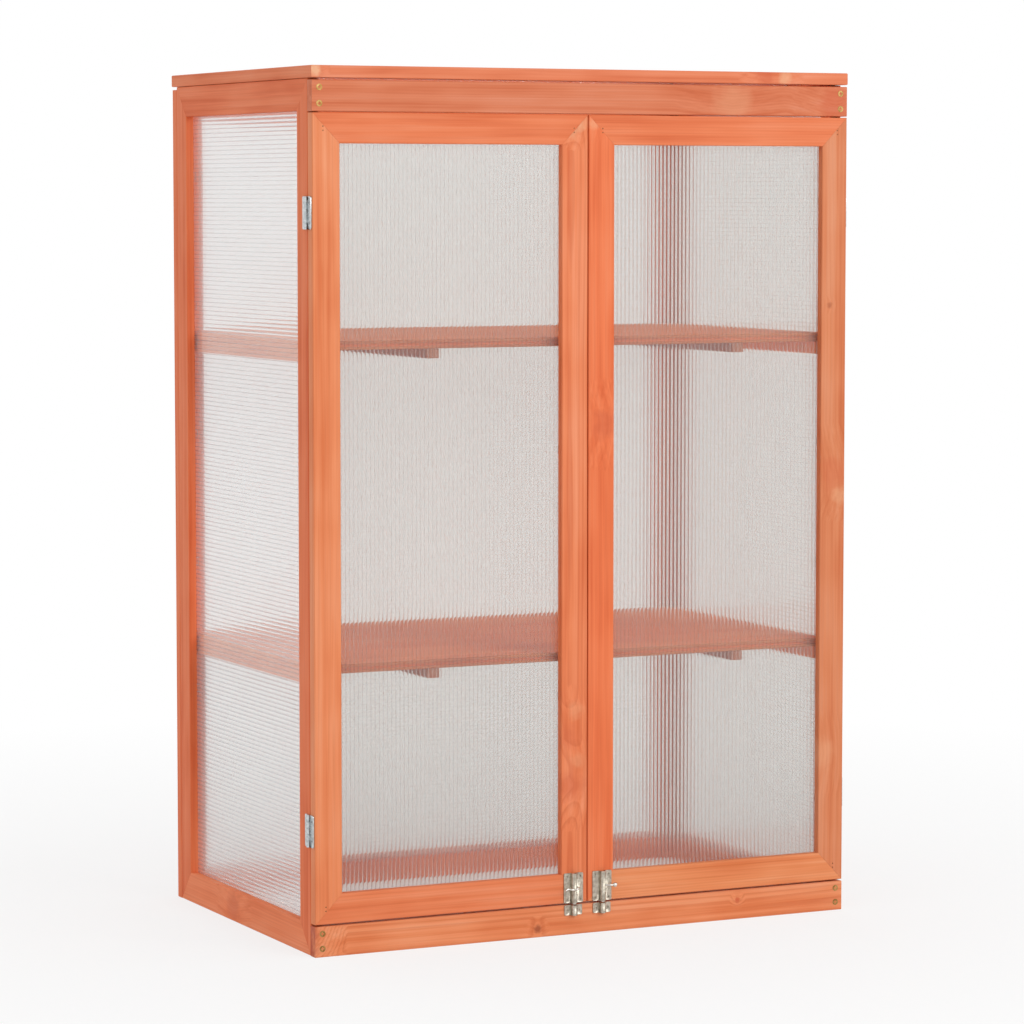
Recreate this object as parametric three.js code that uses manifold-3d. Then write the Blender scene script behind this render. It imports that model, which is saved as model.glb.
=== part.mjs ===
// Wooden mini greenhouse: a stained firwood cabinet of mitred frames glazed with twin-wall sheet, with two
// doors, a lid hinged at the back, two tongue-and-groove shelves, butt hinges and tower bolts.
// Millimetres, +X to the right, +Y to the back, +Z up. The origin is on the ground, under the middle of the
// whole object. Turning a door's group about Z, the lid's about X or raising a bolt's group moves that part.
import * as THREE from "three";
import { mergeGeometries, mergeVertices } from "three/addons/utils/BufferGeometryUtils.js";
import Module from "manifold-3d";

const wasm = await Module();
wasm.setup();

// Overall sizes of the cabinet, without hinge barrels and bolt handles
const overallWidth = 750;
const overallDepth = 470;
const overallHeight = 1090;

// Boards and the joints between them
const board = 15; // thickness of every frame board and front rail
const edgeEase = 0.9; // small flat planed along the long edges
const seam = 0.3; // gap between two pieces that are screwed or laid face to face
const mitreGap = 0.2; // glue line of a mitre, measured along the board
const rebateDepth = 5; // step cut in the back of a frame board for the sheet
const rebateWidth = 8;

// Widths of the frame boards
const doorStile = 36;
const doorRail = 37;
const sideStile = 33;
const sideRail = 39;
const backStile = 38;
const backRail = 38;
const lidBoard = 38;
const frontRail = 38;

// Heights and gaps around the doors and the lid
const lidThickness = board;
const lidClearance = 0.5; // lid above the side frames
const frontDrop = 2; // front rail's top below the side frames'
const backDrop = 3.5; // back frame's top below the side frames'
const lidOverhang = 1; // lid past each side
const doorTopGap = 1.5;
const doorFootGap = 2.5;
const doorMeetingGap = 1.5;
const doorBackGap = 0.8; // door's back to the side frame's edge
const doorProud = 0.5; // door's face in front of the rails'

// Twin-wall sheet
const sheetThickness = 4;
const sheetEdgeClear = 1; // sheet's edge to the end of its rebate
const sheetSkin = 0.5;
const sheetRib = 0.6;
const doorCell = 5.6; // rib spacing of the sheets in the doors
const wallCell = 16.8; // rib spacing drawn in the walls and the lid, three real cells to one

// Shelves, their battens and the cleats that carry them
const shelfThickness = 11;
const lowerShelfTop = 357.5;
const upperShelfTop = 755.5;
const shelfSideGap = 1;
const shelfFrontSetback = 22; // from the rails' front face
const shelfBackGap = 8;
const frontStrip = 35; // ripped front board of a shelf
const shelfBoard = 85; // full board of a shelf
const jointDepth = 1.2; // V-joint between two boards
const grooveWidth = 3.6; // groove that shows in the shelf's front edge
const grooveDepth = 4;
const battenWidth = 16;
const battenHeight = 12;
const battenSetback = 2; // from the shelf's front edge
const leftBattenX = -203;
const rightBattenX = 228;
const cleatWidth = 15;
const cleatHeight = 16;
const cleatFront = 24; // from the rails' front face
const cleatBackGap = 10;

// Butt hinges
const barrelRadius = 2.4;
const pinRadius = 1.2;
const pinClearance = 0.25;
const leafThickness = 1.2;
const leafWidth = 13; // from the pin's axis to the leaf's edge
const leafHeight = 40;
const knuckleGap = 0.3;
const leafHoleRadius = 1.6;
const leafHoleAcross = 8; // from the pin's axis
const leafHoleSpacing = 24;
const upperHingeInset = 121; // hinge's middle below the door's top
const lowerHingeInset = 115; // hinge's middle above the door's foot
const lidHingeInset = 120; // hinge's middle from the end of the lid
const knuckles = 5;

// Tower bolts and their keepers
const plateWidth = 27;
const plateHeight = 38;
const plateSheet = 1;
const plateFootGap = 0.3; // plate above the door's foot
const boltFromMeeting = 19.5; // bolt's axis from the door's meeting edge
const rodRadius = 2.75;
const rodClearance = 0.35;
const rodLength = 38;
const rodEase = 0.8;
const rodTipLift = 0.8; // rod's tip above the keeper at rest
const boltUp = 9; // travel up from rest
const boltDown = 7.5; // travel down into the keeper
const handleRadius = 1.3;
const handleRise = 22; // handle above the rod's tip
const handleReach = 14.5;
const handleDrop = 2.2; // fall of the plain handle's end
const handleClear = 0.5;
const knobRadius = 3.1;
const slotInset = 1.2; // slot's edge from the arch's crown line
const slotFoot = 1.6; // metal left between the slot and the plate's flange
const plateHoleRadius = 1.5;
const plateHoleInset = 4.2;
const keeperWidth = 25;
const keeperHeight = 13;
const keeperEase = 1; // flat on the outer corners of the keeper's bridge

// How finely round forms are drawn
const barrelSides = 10;
const rodSides = 12;
const holeSides = 8;
const archSteps = 8;
const handleSides = 6;
const handleSteps = 12;
const knobSides = 12;
const knobRings = 6;

const weldDistance = 0.0001;
const overrun = 5; // how far a cutter passes the face it opens
const quarterTurn = Math.PI / 2;
const halfTurn = Math.PI;
const fullTurn = Math.PI * 2;

// Sizes that follow from the ones above
const bodyWidth = overallWidth - lidOverhang * 2;
const sideHeight = overallHeight - lidThickness - lidClearance;
const backHeight = sideHeight - backDrop;
const frontTop = sideHeight - frontDrop;
const doorTop = frontTop - frontRail - doorTopGap;
const doorFoot = frontRail + doorFootGap;
const doorHeight = doorTop - doorFoot;
const doorWidth = (bodyWidth - doorMeetingGap) / 2;
const bodyFront = -overallDepth / 2;
const bodyBack = overallDepth / 2;
const doorFace = bodyFront - doorProud;
const doorBack = doorFace + board;
const sideFront = doorBack + doorBackGap;
const sideBack = bodyBack - board - seam;
const sideDepth = sideBack - sideFront;
const lidFoot = overallHeight - lidThickness;
const bodyHalf = bodyWidth / 2;
const innerHalf = bodyHalf - board;
const axisOffset = barrelRadius + seam; // pin's axis outside the face that the leaves lie on
const doorAxisX = bodyHalf + axisOffset;
const doorAxisY = (doorBack + sideFront) / 2;
const lidAxisY = bodyBack + axisOffset;
const lidAxisZ = (backHeight + lidFoot) / 2;
const reveal = board - rebateDepth;
const sheetLap = rebateWidth - sheetEdgeClear;
const rodDepth = rodRadius + rodClearance + seam; // rod's axis in front of the door's face
const archInner = rodRadius + rodClearance;
const archOuter = archInner + plateSheet;
const handleDepth = rodDepth + archOuter + handleClear + handleRadius;
const keeperFoot = frontRail - keeperHeight;
const rodTip = frontRail + rodTipLift;
const frontReach = doorProud + handleDepth + knobRadius;
const rearReach = axisOffset + barrelRadius;
const centring = (frontReach - rearReach) / 2;

// Finishes
const stainedFir = new THREE.MeshStandardMaterial({ color: "#e2895f", roughness: 0.6, metalness: 0 });
const polycarbonate = new THREE.MeshStandardMaterial({
  color: "#dcdbd8", roughness: 0.2, metalness: 0, transparent: true, opacity: 0.45,
});
const zincPlate = new THREE.MeshStandardMaterial({ color: "#c3c2b9", roughness: 0.35, metalness: 0.9 });
const shelfFir = new THREE.MeshStandardMaterial({ color: "#d98a68", roughness: 0.65, metalness: 0 });

// A closed geometry as a solid that can be joined and cut
function solidOf(geometry) {
  const loose = geometry.index ? geometry.toNonIndexed() : geometry;
  const bare = new THREE.BufferGeometry();
  bare.setAttribute("position", loose.getAttribute("position"));
  const merged = mergeVertices(bare, weldDistance);
  const vertProperties = merged.attributes.position.array;
  const triVerts = new Uint32Array(merged.index.array);
  return new wasm.Manifold(new wasm.Mesh({ numProp: 3, vertProperties, triVerts }));
}

function geometryOf(solid) {
  const { numProp, numVert, vertProperties, triVerts } = solid.getMesh();
  const places = new Float32Array(numVert * 3);
  for (let i = 0; i < numVert; i += 1) {
    places.set(vertProperties.subarray(i * numProp, i * numProp + 3), i * 3);
  }
  const geometry = new THREE.BufferGeometry();
  geometry.setAttribute("position", new THREE.BufferAttribute(places, 3));
  geometry.setIndex(new THREE.BufferAttribute(triVerts, 1));
  return geometry;
}

function joined(geometries) {
  return geometries.map(solidOf).reduce((sum, next) => sum.add(next));
}

function cutBy(solid, geometries) {
  return geometries.map(solidOf).reduce((left, cutter) => left.subtract(cutter), solid);
}

function outlineOf(points) {
  return new THREE.Shape(points.map(([a, b]) => new THREE.Vector2(a, b)));
}

// A section in X and Y, drawn upwards
function upright(section, height) {
  return new THREE.ExtrudeGeometry(section, { depth: height, bevelEnabled: false, curveSegments: archSteps });
}

// A section in Y and Z, drawn to the right
function alongX(section, length) {
  const turn = new THREE.Matrix4().set(0, 0, 1, 0, 1, 0, 0, 0, 0, 1, 0, 0, 0, 0, 0, 1);
  return upright(section, length).applyMatrix4(turn);
}

// A section in X and Z, drawn from y = 0 to the front
function towardsFront(section, length) {
  const turn = new THREE.Matrix4().set(1, 0, 0, 0, 0, 0, -1, 0, 0, 1, 0, 0, 0, 0, 0, 1);
  return upright(section, length).applyMatrix4(turn);
}

function block(width, depth, height, x, y, z) {
  return new THREE.BoxGeometry(width, depth, height).translate(x, y, z);
}

// A round drill along X or Y through a point
function drillX(radius, y, z) {
  const drill = new THREE.CylinderGeometry(radius, radius, overrun * 2, holeSides);
  return drill.rotateZ(quarterTurn).translate(0, y, z);
}

function drillY(radius, x, z) {
  return new THREE.CylinderGeometry(radius, radius, overrun * 2, holeSides).translate(x, 0, z);
}

function pieceOf(name, geometry, material) {
  const piece = new THREE.Mesh(geometry, material);
  piece.name = name;
  return piece;
}

// A board's section with a small flat planed on each long edge
function easedSection(width, height) {
  const right = width - edgeEase;
  const top = height - edgeEase;
  return outlineOf([
    [edgeEase, 0], [right, 0], [width, edgeEase], [width, top],
    [right, height], [edgeEase, height], [0, top], [0, edgeEase],
  ]);
}

// Section of a frame board: x from its outer edge towards the opening, y from its face to its back,
// with the step for the sheet cut out of the back
function memberSection(width) {
  const shoulder = width - rebateWidth;
  return outlineOf([
    [edgeEase, 0], [width - edgeEase, 0], [width, edgeEase], [width, reveal],
    [shoulder, reveal], [shoulder, board], [edgeEase, board], [0, board - edgeEase], [0, edgeEase],
  ]);
}

// A frame board standing on z = 0, mitred at both ends to meet boards of meetingWidth
function frameMember(length, width, meetingWidth) {
  const geometry = upright(memberSection(width), length);
  const place = geometry.getAttribute("position");
  const lean = meetingWidth / width;
  for (let i = 0; i < place.count; i += 1) {
    const inset = place.getX(i) * lean + mitreGap / 2;
    const atFoot = place.getZ(i) < length / 2;
    place.setZ(i, atFoot ? inset : length - inset);
  }
  return geometry;
}

// Twin-wall sheet: two skins joined by ribs, the channels open at both ends.
// It lies in X and Z with its face at y = 0, and its channels run upwards.
function twinWallSheet(across, along, cell) {
  const cells = Math.max(1, Math.round((across - sheetRib) / cell));
  const pitch = (across - sheetRib) / cells;
  const inside = sheetThickness - sheetSkin * 2;
  const middle = sheetThickness / 2;
  const channels = [];
  for (let i = 0; i < cells; i += 1) {
    const x = (sheetRib + pitch) / 2 + i * pitch;
    channels.push(block(pitch - sheetRib, inside, along + overrun * 2, x, middle, along / 2));
  }
  const sheet = block(across, sheetThickness, along, across / 2, middle, along / 2);
  return geometryOf(cutBy(solidOf(sheet), [mergeGeometries(channels)]));
}

// A sheet in its frame's rebate, with upright or level channels
function frameSheet(name, width, height, stile, rail, cell, level) {
  const acrossX = width - (stile - sheetLap) * 2;
  const acrossZ = height - (rail - sheetLap) * 2;
  const geometry = level ? twinWallSheet(acrossZ, acrossX, cell) : twinWallSheet(acrossX, acrossZ, cell);
  const sheet = pieceOf(name, geometry, polycarbonate);
  sheet.position.set(stile - sheetLap, reveal + seam, rail - sheetLap);
  if (level) {
    sheet.rotation.y = quarterTurn;
    sheet.position.z += acrossZ;
  }
  return sheet;
}

// Four mitred boards round a sheet. The frame lies in X and Z with its face at y = 0 and its lower left
// corner at the origin. The names go clockwise from the left upright.
function glazedFrame({ names, sheetName, width, height, stile, rail, cell, level }) {
  const frame = new THREE.Group();
  const corners = [[0, 0], [0, height], [width, height], [width, 0]];
  corners.forEach(([x, z], i) => {
    const isStile = i % 2 === 0;
    const geometry = isStile ? frameMember(height, stile, rail) : frameMember(width, rail, stile);
    const member = pieceOf(names[i], geometry, stainedFir);
    member.rotation.y = quarterTurn * i;
    member.position.set(x, 0, z);
    frame.add(member);
  });
  frame.add(frameSheet(sheetName, width, height, stile, rail, cell, level));
  return frame;
}

function sideFrame(side) {
  const sign = side === "left" ? -1 : 1;
  const uprights = side === "left" ? ["rear", "front"] : ["front", "rear"];
  const frame = glazedFrame({
    names: [
      `${side}_side_${uprights[0]}_stile`, `${side}_side_top_rail`,
      `${side}_side_${uprights[1]}_stile`, `${side}_side_bottom_rail`,
    ],
    sheetName: `${side}_side_sheet`,
    width: sideDepth, height: sideHeight, stile: sideStile, rail: sideRail, cell: wallCell, level: true,
  });
  frame.rotation.z = quarterTurn * sign;
  frame.position.set(bodyHalf * sign, side === "left" ? sideBack : sideFront, 0);
  return frame;
}

function backFrame() {
  const frame = glazedFrame({
    names: ["back_right_stile", "back_top_rail", "back_left_stile", "back_bottom_rail"],
    sheetName: "back_sheet",
    width: bodyWidth, height: backHeight, stile: backStile, rail: backRail, cell: wallCell, level: true,
  });
  frame.rotation.z = halfTurn;
  frame.position.set(bodyHalf, bodyBack, 0);
  return frame;
}

function frontRailPiece(name, foot) {
  const piece = pieceOf(name, alongX(easedSection(board, frontRail), bodyWidth), stainedFir);
  piece.position.set(-bodyHalf, bodyFront, foot);
  return piece;
}

// Section of a shelf of tongue-and-groove boards: y from its front edge to the back, z from its underside,
// with a V-joint in both faces between two boards and the open groove in the front edge
function shelfSection(depth) {
  const under = [];
  const over = [];
  for (let y = frontStrip; y < depth - shelfBoard / 2; y += shelfBoard) {
    const [before, after] = [y - jointDepth, y + jointDepth];
    under.push([before, 0], [y, jointDepth], [after, 0]);
    over.unshift([after, shelfThickness], [y, shelfThickness - jointDepth], [before, shelfThickness]);
  }
  const grooveFoot = (shelfThickness - grooveWidth) / 2;
  const grooveTop = grooveFoot + grooveWidth;
  return outlineOf([
    [edgeEase, 0], ...under, [depth, 0], [depth, shelfThickness], ...over, [edgeEase, shelfThickness],
    [0, shelfThickness - edgeEase], [0, grooveTop], [grooveDepth, grooveTop], [grooveDepth, grooveFoot],
    [0, grooveFoot], [0, edgeEase],
  ]);
}

// A shelf with its two battens and two cleats
function shelf(level, top) {
  const group = new THREE.Group();
  const front = bodyFront + shelfFrontSetback;
  const depth = bodyBack - board - shelfBackGap - front;
  const width = (innerHalf - shelfSideGap) * 2;
  const foot = top - shelfThickness;
  const deck = pieceOf(`${level}_shelf`, alongX(shelfSection(depth), width), shelfFir);
  deck.position.set(-width / 2, front, foot);
  group.add(deck);
  const battenLength = depth - battenSetback * 2;
  for (const [side, x] of [["left", leftBattenX], ["right", rightBattenX]]) {
    const geometry = towardsFront(easedSection(battenWidth, battenHeight), battenLength);
    const batten = pieceOf(`${level}_shelf_${side}_batten`, geometry, shelfFir);
    const battenEnd = front + battenSetback + battenLength;
    batten.position.set(x - battenWidth / 2, battenEnd, foot - battenHeight - seam);
    group.add(batten);
  }
  const cleatLength = sideBack - cleatBackGap - bodyFront - cleatFront;
  for (const [side, sign] of [["left", -1], ["right", 1]]) {
    const geometry = towardsFront(easedSection(cleatWidth, cleatHeight), cleatLength);
    const cleat = pieceOf(`${level}_shelf_${side}_cleat`, geometry, shelfFir);
    const x = (innerHalf - seam - cleatWidth / 2) * sign - cleatWidth / 2;
    cleat.position.set(x, bodyFront + cleatFront + cleatLength, foot - cleatHeight - seam);
    group.add(cleat);
  }
  return group;
}

// Hinge leaves, with the pin's axis on Z through the origin and the screwed face of both leaves at
// x = barrelRadius. The fixed leaf goes to +Y with the outer knuckles, the moving leaf to -Y.
function knuckleSection(bore) {
  const rootX = barrelRadius - leafThickness;
  const rootAngle = Math.acos(rootX / barrelRadius);
  const section = new THREE.Shape();
  const tailY = barrelRadius + knuckleGap + leafThickness;
  section.moveTo(barrelRadius, 0);
  section.lineTo(barrelRadius, tailY);
  section.lineTo(rootX, tailY);
  for (let i = 0; i < barrelSides; i += 1) {
    const angle = rootAngle + ((fullTurn - rootAngle) * i) / barrelSides;
    section.lineTo(Math.cos(angle) * barrelRadius, Math.sin(angle) * barrelRadius);
  }
  if (bore > 0) {
    const hole = [];
    for (let i = 0; i < barrelSides; i += 1) {
      const angle = (-fullTurn * i) / barrelSides;
      hole.push([Math.cos(angle) * bore, Math.sin(angle) * bore]);
    }
    section.holes.push(outlineOf(hole));
  }
  return section;
}

function hingeLeaf(isFixed) {
  const knuckleHeight = leafHeight / knuckles;
  const near = barrelRadius + knuckleGap;
  const plate = block(
    leafThickness, leafWidth - near, leafHeight, barrelRadius - leafThickness / 2, (leafWidth + near) / 2, 0,
  );
  const parts = [plate];
  for (let i = isFixed ? 0 : 1; i < knuckles; i += 2) {
    const bore = isFixed ? 0 : pinRadius + pinClearance;
    const trimFoot = i > 0 ? knuckleGap / 2 : 0;
    const trimTop = i < knuckles - 1 ? knuckleGap / 2 : 0;
    const knuckle = upright(knuckleSection(bore), knuckleHeight - trimFoot - trimTop);
    parts.push(knuckle.translate(0, 0, i * knuckleHeight + trimFoot - leafHeight / 2));
  }
  if (isFixed) {
    const pin = new THREE.CylinderGeometry(pinRadius, pinRadius, leafHeight, barrelSides);
    parts.push(pin.rotateX(quarterTurn));
  }
  const drills = [-1, 1].map((side) => drillX(leafHoleRadius, leafHoleAcross, (leafHoleSpacing / 2) * side));
  const leaf = geometryOf(cutBy(joined(parts), drills));
  return isFixed ? leaf : leaf.rotateX(halfTurn);
}

// One hinge as two pieces, each added to the group of the body that carries it
function hinge(name, fixedGroup, movingGroup, place) {
  for (const [kind, group] of [["fixed", fixedGroup], ["moving", movingGroup]]) {
    const leaf = pieceOf(`${name}_hinge_${kind}_leaf`, hingeLeaf(kind === "fixed"), zincPlate);
    place(leaf);
    leaf.position.sub(group.position);
    group.add(leaf);
  }
}

// Section of a bolt's plate: flanges and a raised arch for the rod, with the door's face at y = 0
function plateSection() {
  const half = plateWidth / 2;
  const back = -seam;
  const face = back - plateSheet;
  const section = new THREE.Shape();
  section.moveTo(-half, back);
  section.lineTo(-archInner, back);
  for (let i = 0; i <= archSteps; i += 1) {
    const angle = halfTurn + (halfTurn * i) / archSteps;
    section.lineTo(Math.cos(angle) * archInner, Math.sin(angle) * archInner - rodDepth);
  }
  section.lineTo(archInner, back);
  section.lineTo(half, back);
  section.lineTo(half, face);
  section.lineTo(archOuter, face);
  for (let i = 0; i <= archSteps; i += 1) {
    const angle = fullTurn - (halfTurn * i) / archSteps;
    section.lineTo(Math.cos(angle) * archOuter, Math.sin(angle) * archOuter - rodDepth);
  }
  section.lineTo(-archOuter, face);
  section.lineTo(-half, face);
  return section;
}

// A bolt's plate standing on z = 0, with the slot that lets the handle through
function boltPlate(handleHeight) {
  const across = plateWidth / 2 - plateHoleInset;
  const drills = [];
  for (const x of [-across, across]) {
    drills.push(drillY(plateHoleRadius, x, plateHoleInset));
    drills.push(drillY(plateHoleRadius, x, plateHeight - plateHoleInset));
  }
  const slotHeight = boltUp + boltDown + (handleRadius + handleClear) * 2;
  const slotMiddle = handleHeight + (boltUp - boltDown) / 2;
  const slotBack = seam + plateSheet + slotFoot;
  const slotDepth = rodDepth + archOuter + overrun - slotBack;
  const slotWidth = archOuter + overrun - slotInset;
  const slot = block(
    slotWidth, slotDepth, slotHeight, slotInset + slotWidth / 2, -slotBack - slotDepth / 2, slotMiddle,
  );
  return geometryOf(cutBy(solidOf(upright(plateSection(), plateHeight)), [...drills, slot]));
}

// Section of a keeper: flanges and a folded bridge with a flat crown, eased on its outer corners
function keeperSection() {
  const half = keeperWidth / 2;
  const back = -seam;
  const face = back - plateSheet;
  const crown = -rodDepth - archInner;
  const top = crown - plateSheet;
  const shoulder = archOuter - keeperEase;
  return outlineOf([
    [-half, back], [-archInner, back], [-archInner, crown], [archInner, crown], [archInner, back], [half, back],
    [half, face], [archOuter, face], [archOuter, top + keeperEase], [shoulder, top], [-shoulder, top],
    [-archOuter, top + keeperEase], [-archOuter, face], [-half, face],
  ]);
}

function keeper() {
  const across = keeperWidth / 2 - plateHoleInset;
  const drills = [-across, across].map((x) => drillY(plateHoleRadius, x, keeperHeight / 2));
  return geometryOf(cutBy(solidOf(upright(keeperSection(), keeperHeight)), drills));
}

// The bent bar that moves the rod. It leaves the rod towards the front right through the slot, and ends
// on the right with a knob or, crossing in front of the arch, on the left.
function handleCurve(toLeft) {
  const out = archOuter + handleRadius;
  const elbowX = out * Math.SQRT1_2;
  const elbowY = -rodDepth - out * Math.SQRT1_2;
  const points = [
    new THREE.Vector3(0, -rodDepth, 0),
    new THREE.Vector3(elbowX, elbowY, 0),
  ];
  if (toLeft) {
    points.push(new THREE.Vector3(handleRadius, -handleDepth - handleRadius, -handleDrop / 2));
    points.push(new THREE.Vector3(-archOuter, -handleDepth, -handleDrop));
    points.push(new THREE.Vector3(-handleReach + handleDrop, -handleDepth, -handleDrop / 2));
    points.push(new THREE.Vector3(-handleReach, -handleDepth, -handleDrop));
  } else {
    points.push(new THREE.Vector3(archOuter + handleRadius * 2, -handleDepth, 0));
    points.push(new THREE.Vector3(handleReach, -handleDepth, 0));
  }
  return new THREE.CatmullRomCurve3(points);
}

// A bolt's rod and handle: the tip at z = 0, the handle at handleRise
function boltRod(toLeft) {
  const shoulder = rodRadius - rodEase;
  const profile = [
    [0, 0], [shoulder, 0], [rodRadius, rodEase], [rodRadius, rodLength - rodEase], [shoulder, rodLength],
    [0, rodLength],
  ].map(([r, z]) => new THREE.Vector2(r, z));
  const rod = new THREE.LatheGeometry(profile, rodSides).rotateX(quarterTurn).translate(0, -rodDepth, 0);
  const round = new THREE.Shape();
  round.absarc(0, 0, handleRadius, 0, fullTurn);
  const curve = handleCurve(toLeft);
  const bar = new THREE.ExtrudeGeometry(round, {
    steps: handleSteps, curveSegments: handleSides / 2, extrudePath: curve, bevelEnabled: false,
  });
  const end = curve.getPoint(1);
  const endRadius = toLeft ? handleRadius : knobRadius;
  const knob = new THREE.SphereGeometry(endRadius, knobSides, knobRings).translate(end.x, end.y, end.z);
  return geometryOf(joined([rod, bar.translate(0, 0, handleRise), knob.translate(0, 0, handleRise)]));
}

// A door hung on its outer edge, with its bolt. The door's group stands on the hinge axis, the bolt's on
// the door's face at the height of the rod's tip.
function door(side, cabinet) {
  const sign = side === "left" ? -1 : 1;
  const group = new THREE.Group();
  group.position.set(doorAxisX * sign, doorAxisY, 0);
  const uprights = side === "left" ? ["hinge", "meeting"] : ["meeting", "hinge"];
  const frame = glazedFrame({
    names: [
      `${side}_door_${uprights[0]}_stile`, `${side}_door_top_rail`,
      `${side}_door_${uprights[1]}_stile`, `${side}_door_bottom_rail`,
    ],
    sheetName: `${side}_door_sheet`,
    width: doorWidth, height: doorHeight, stile: doorStile, rail: doorRail, cell: doorCell, level: false,
  });
  const leftEdge = side === "left" ? -bodyHalf : doorMeetingGap / 2;
  frame.position.set(leftEdge, doorFace, doorFoot).sub(group.position);
  group.add(frame);

  const heights = [["upper", doorTop - upperHingeInset], ["lower", doorFoot + lowerHingeInset]];
  for (const [level, z] of heights) {
    hinge(`${side}_door_${level}`, cabinet, group, (leaf) => {
      leaf.position.set(doorAxisX * sign, doorAxisY, z);
      if (side === "right") leaf.rotation.y = halfTurn;
    });
  }

  const boltX = (doorMeetingGap / 2 + boltFromMeeting) * sign;
  const plateFoot = doorFoot + plateFootGap;
  const plate = pieceOf(`${side}_bolt_plate`, boltPlate(rodTip + handleRise - plateFoot), zincPlate);
  plate.position.set(boltX, doorFace, plateFoot).sub(group.position);
  group.add(plate);
  const bolt = new THREE.Group();
  bolt.position.set(boltX, doorFace, rodTip).sub(group.position);
  bolt.add(pieceOf(`${side}_bolt_rod`, boltRod(side === "left"), zincPlate));
  group.add(bolt);

  const catchPlate = pieceOf(`${side}_bolt_keeper`, keeper(), zincPlate);
  catchPlate.position.set(boltX, doorFace, keeperFoot);
  cabinet.add(catchPlate);
  return group;
}

// The lid on its back edge, its group standing on the hinge axis
function lid(cabinet) {
  const group = new THREE.Group();
  group.position.set(0, lidAxisY, lidAxisZ);
  const frame = glazedFrame({
    names: ["lid_left_board", "lid_back_board", "lid_right_board", "lid_front_board"],
    sheetName: "lid_sheet",
    width: overallWidth, height: overallDepth, stile: lidBoard, rail: lidBoard, cell: wallCell, level: false,
  });
  frame.rotation.x = -quarterTurn;
  frame.position.set(-overallWidth / 2, bodyFront, overallHeight).sub(group.position);
  group.add(frame);
  const facing = new THREE.Matrix4().set(0, 0, 1, 0, -1, 0, 0, 0, 0, -1, 0, 0, 0, 0, 0, 1);
  for (const [side, sign] of [["left", -1], ["right", 1]]) {
    hinge(`lid_${side}`, cabinet, group, (leaf) => {
      leaf.position.set((bodyHalf - lidHingeInset) * sign, lidAxisY, lidAxisZ);
      leaf.setRotationFromMatrix(facing);
    });
  }
  return group;
}

function greenhouse() {
  const root = new THREE.Group();
  root.position.y = centring;
  const cabinet = new THREE.Group();
  cabinet.add(sideFrame("left"), sideFrame("right"), backFrame());
  cabinet.add(frontRailPiece("front_top_rail", frontTop - frontRail));
  cabinet.add(frontRailPiece("front_bottom_rail", 0));
  cabinet.add(shelf("upper", upperShelfTop), shelf("lower", lowerShelfTop));
  root.add(cabinet, door("left", cabinet), door("right", cabinet), lid(cabinet));
  return root;
}

export default greenhouse();
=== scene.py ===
import math

import bmesh
import bpy
from mathutils import Euler, Matrix, Vector


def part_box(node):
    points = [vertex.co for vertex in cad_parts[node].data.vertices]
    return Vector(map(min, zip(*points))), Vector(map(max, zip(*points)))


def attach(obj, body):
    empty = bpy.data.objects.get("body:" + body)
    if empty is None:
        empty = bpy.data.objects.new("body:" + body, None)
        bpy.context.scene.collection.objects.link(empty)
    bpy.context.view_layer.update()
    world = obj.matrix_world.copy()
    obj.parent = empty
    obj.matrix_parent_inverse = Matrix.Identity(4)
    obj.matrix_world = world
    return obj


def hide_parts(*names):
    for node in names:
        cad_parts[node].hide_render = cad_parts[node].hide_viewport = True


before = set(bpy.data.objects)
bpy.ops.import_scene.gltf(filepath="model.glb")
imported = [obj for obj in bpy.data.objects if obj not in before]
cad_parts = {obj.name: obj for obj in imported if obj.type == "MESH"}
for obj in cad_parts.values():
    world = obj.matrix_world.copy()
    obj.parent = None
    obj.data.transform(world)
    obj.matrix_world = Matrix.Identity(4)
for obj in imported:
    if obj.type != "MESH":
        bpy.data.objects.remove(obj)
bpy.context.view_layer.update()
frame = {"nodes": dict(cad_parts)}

MM = 0.001
QUARTER = math.pi / 2


# Camera, where the photograph was taken from. Metres and radians in the part's frame.
CAMERA_PLACE = Vector((-2.2011, -4.5529, 0.9317))
CAMERA_YAW = 0.4514        # to the right of straight at the doors
CAMERA_PITCH = -0.0814     # down from level
SENSOR_MM = 36
LENS_MM = 135.93
CAMERA_REACH = 60          # how far it sees


def add_camera():
    data = bpy.data.cameras.new("camera")
    data.sensor_width = SENSOR_MM
    data.lens = LENS_MM
    data.clip_end = CAMERA_REACH
    camera = bpy.data.objects.new("camera", data)
    camera.location = CAMERA_PLACE
    camera.rotation_euler = (QUARTER + CAMERA_PITCH, 0, -CAMERA_YAW)
    bpy.context.scene.collection.objects.link(camera)
    bpy.context.scene.camera = camera


add_camera()


# Places read from the frame
def box_mm(node):
    """The lower and the upper corner of a CAD node's box, in mm."""
    return [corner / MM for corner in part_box(node)]


# Y of the doors' and of the front rails' front faces
DOOR_FACE = round(box_mm("left_door_hinge_stile")[0].y, 2)
RAIL_FACE = round(box_mm("front_top_rail")[0].y, 2)


# Nodes and colours
WHITE = (1, 1, 1, 1)


def linear(hex_colour, strength=(1, 1, 1)):
    """An sRGB hex colour as linear red, green, blue and alpha, with the first three times their strengths."""
    values = [int(hex_colour[i:i + 2], 16) / 255 for i in (1, 3, 5)]
    values = [v / 12.92 if v <= 0.04045 else ((v + 0.055) / 1.055) ** 2.4 for v in values]
    return [v * s for v, s in zip(values, strength)] + [1.0]


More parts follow.
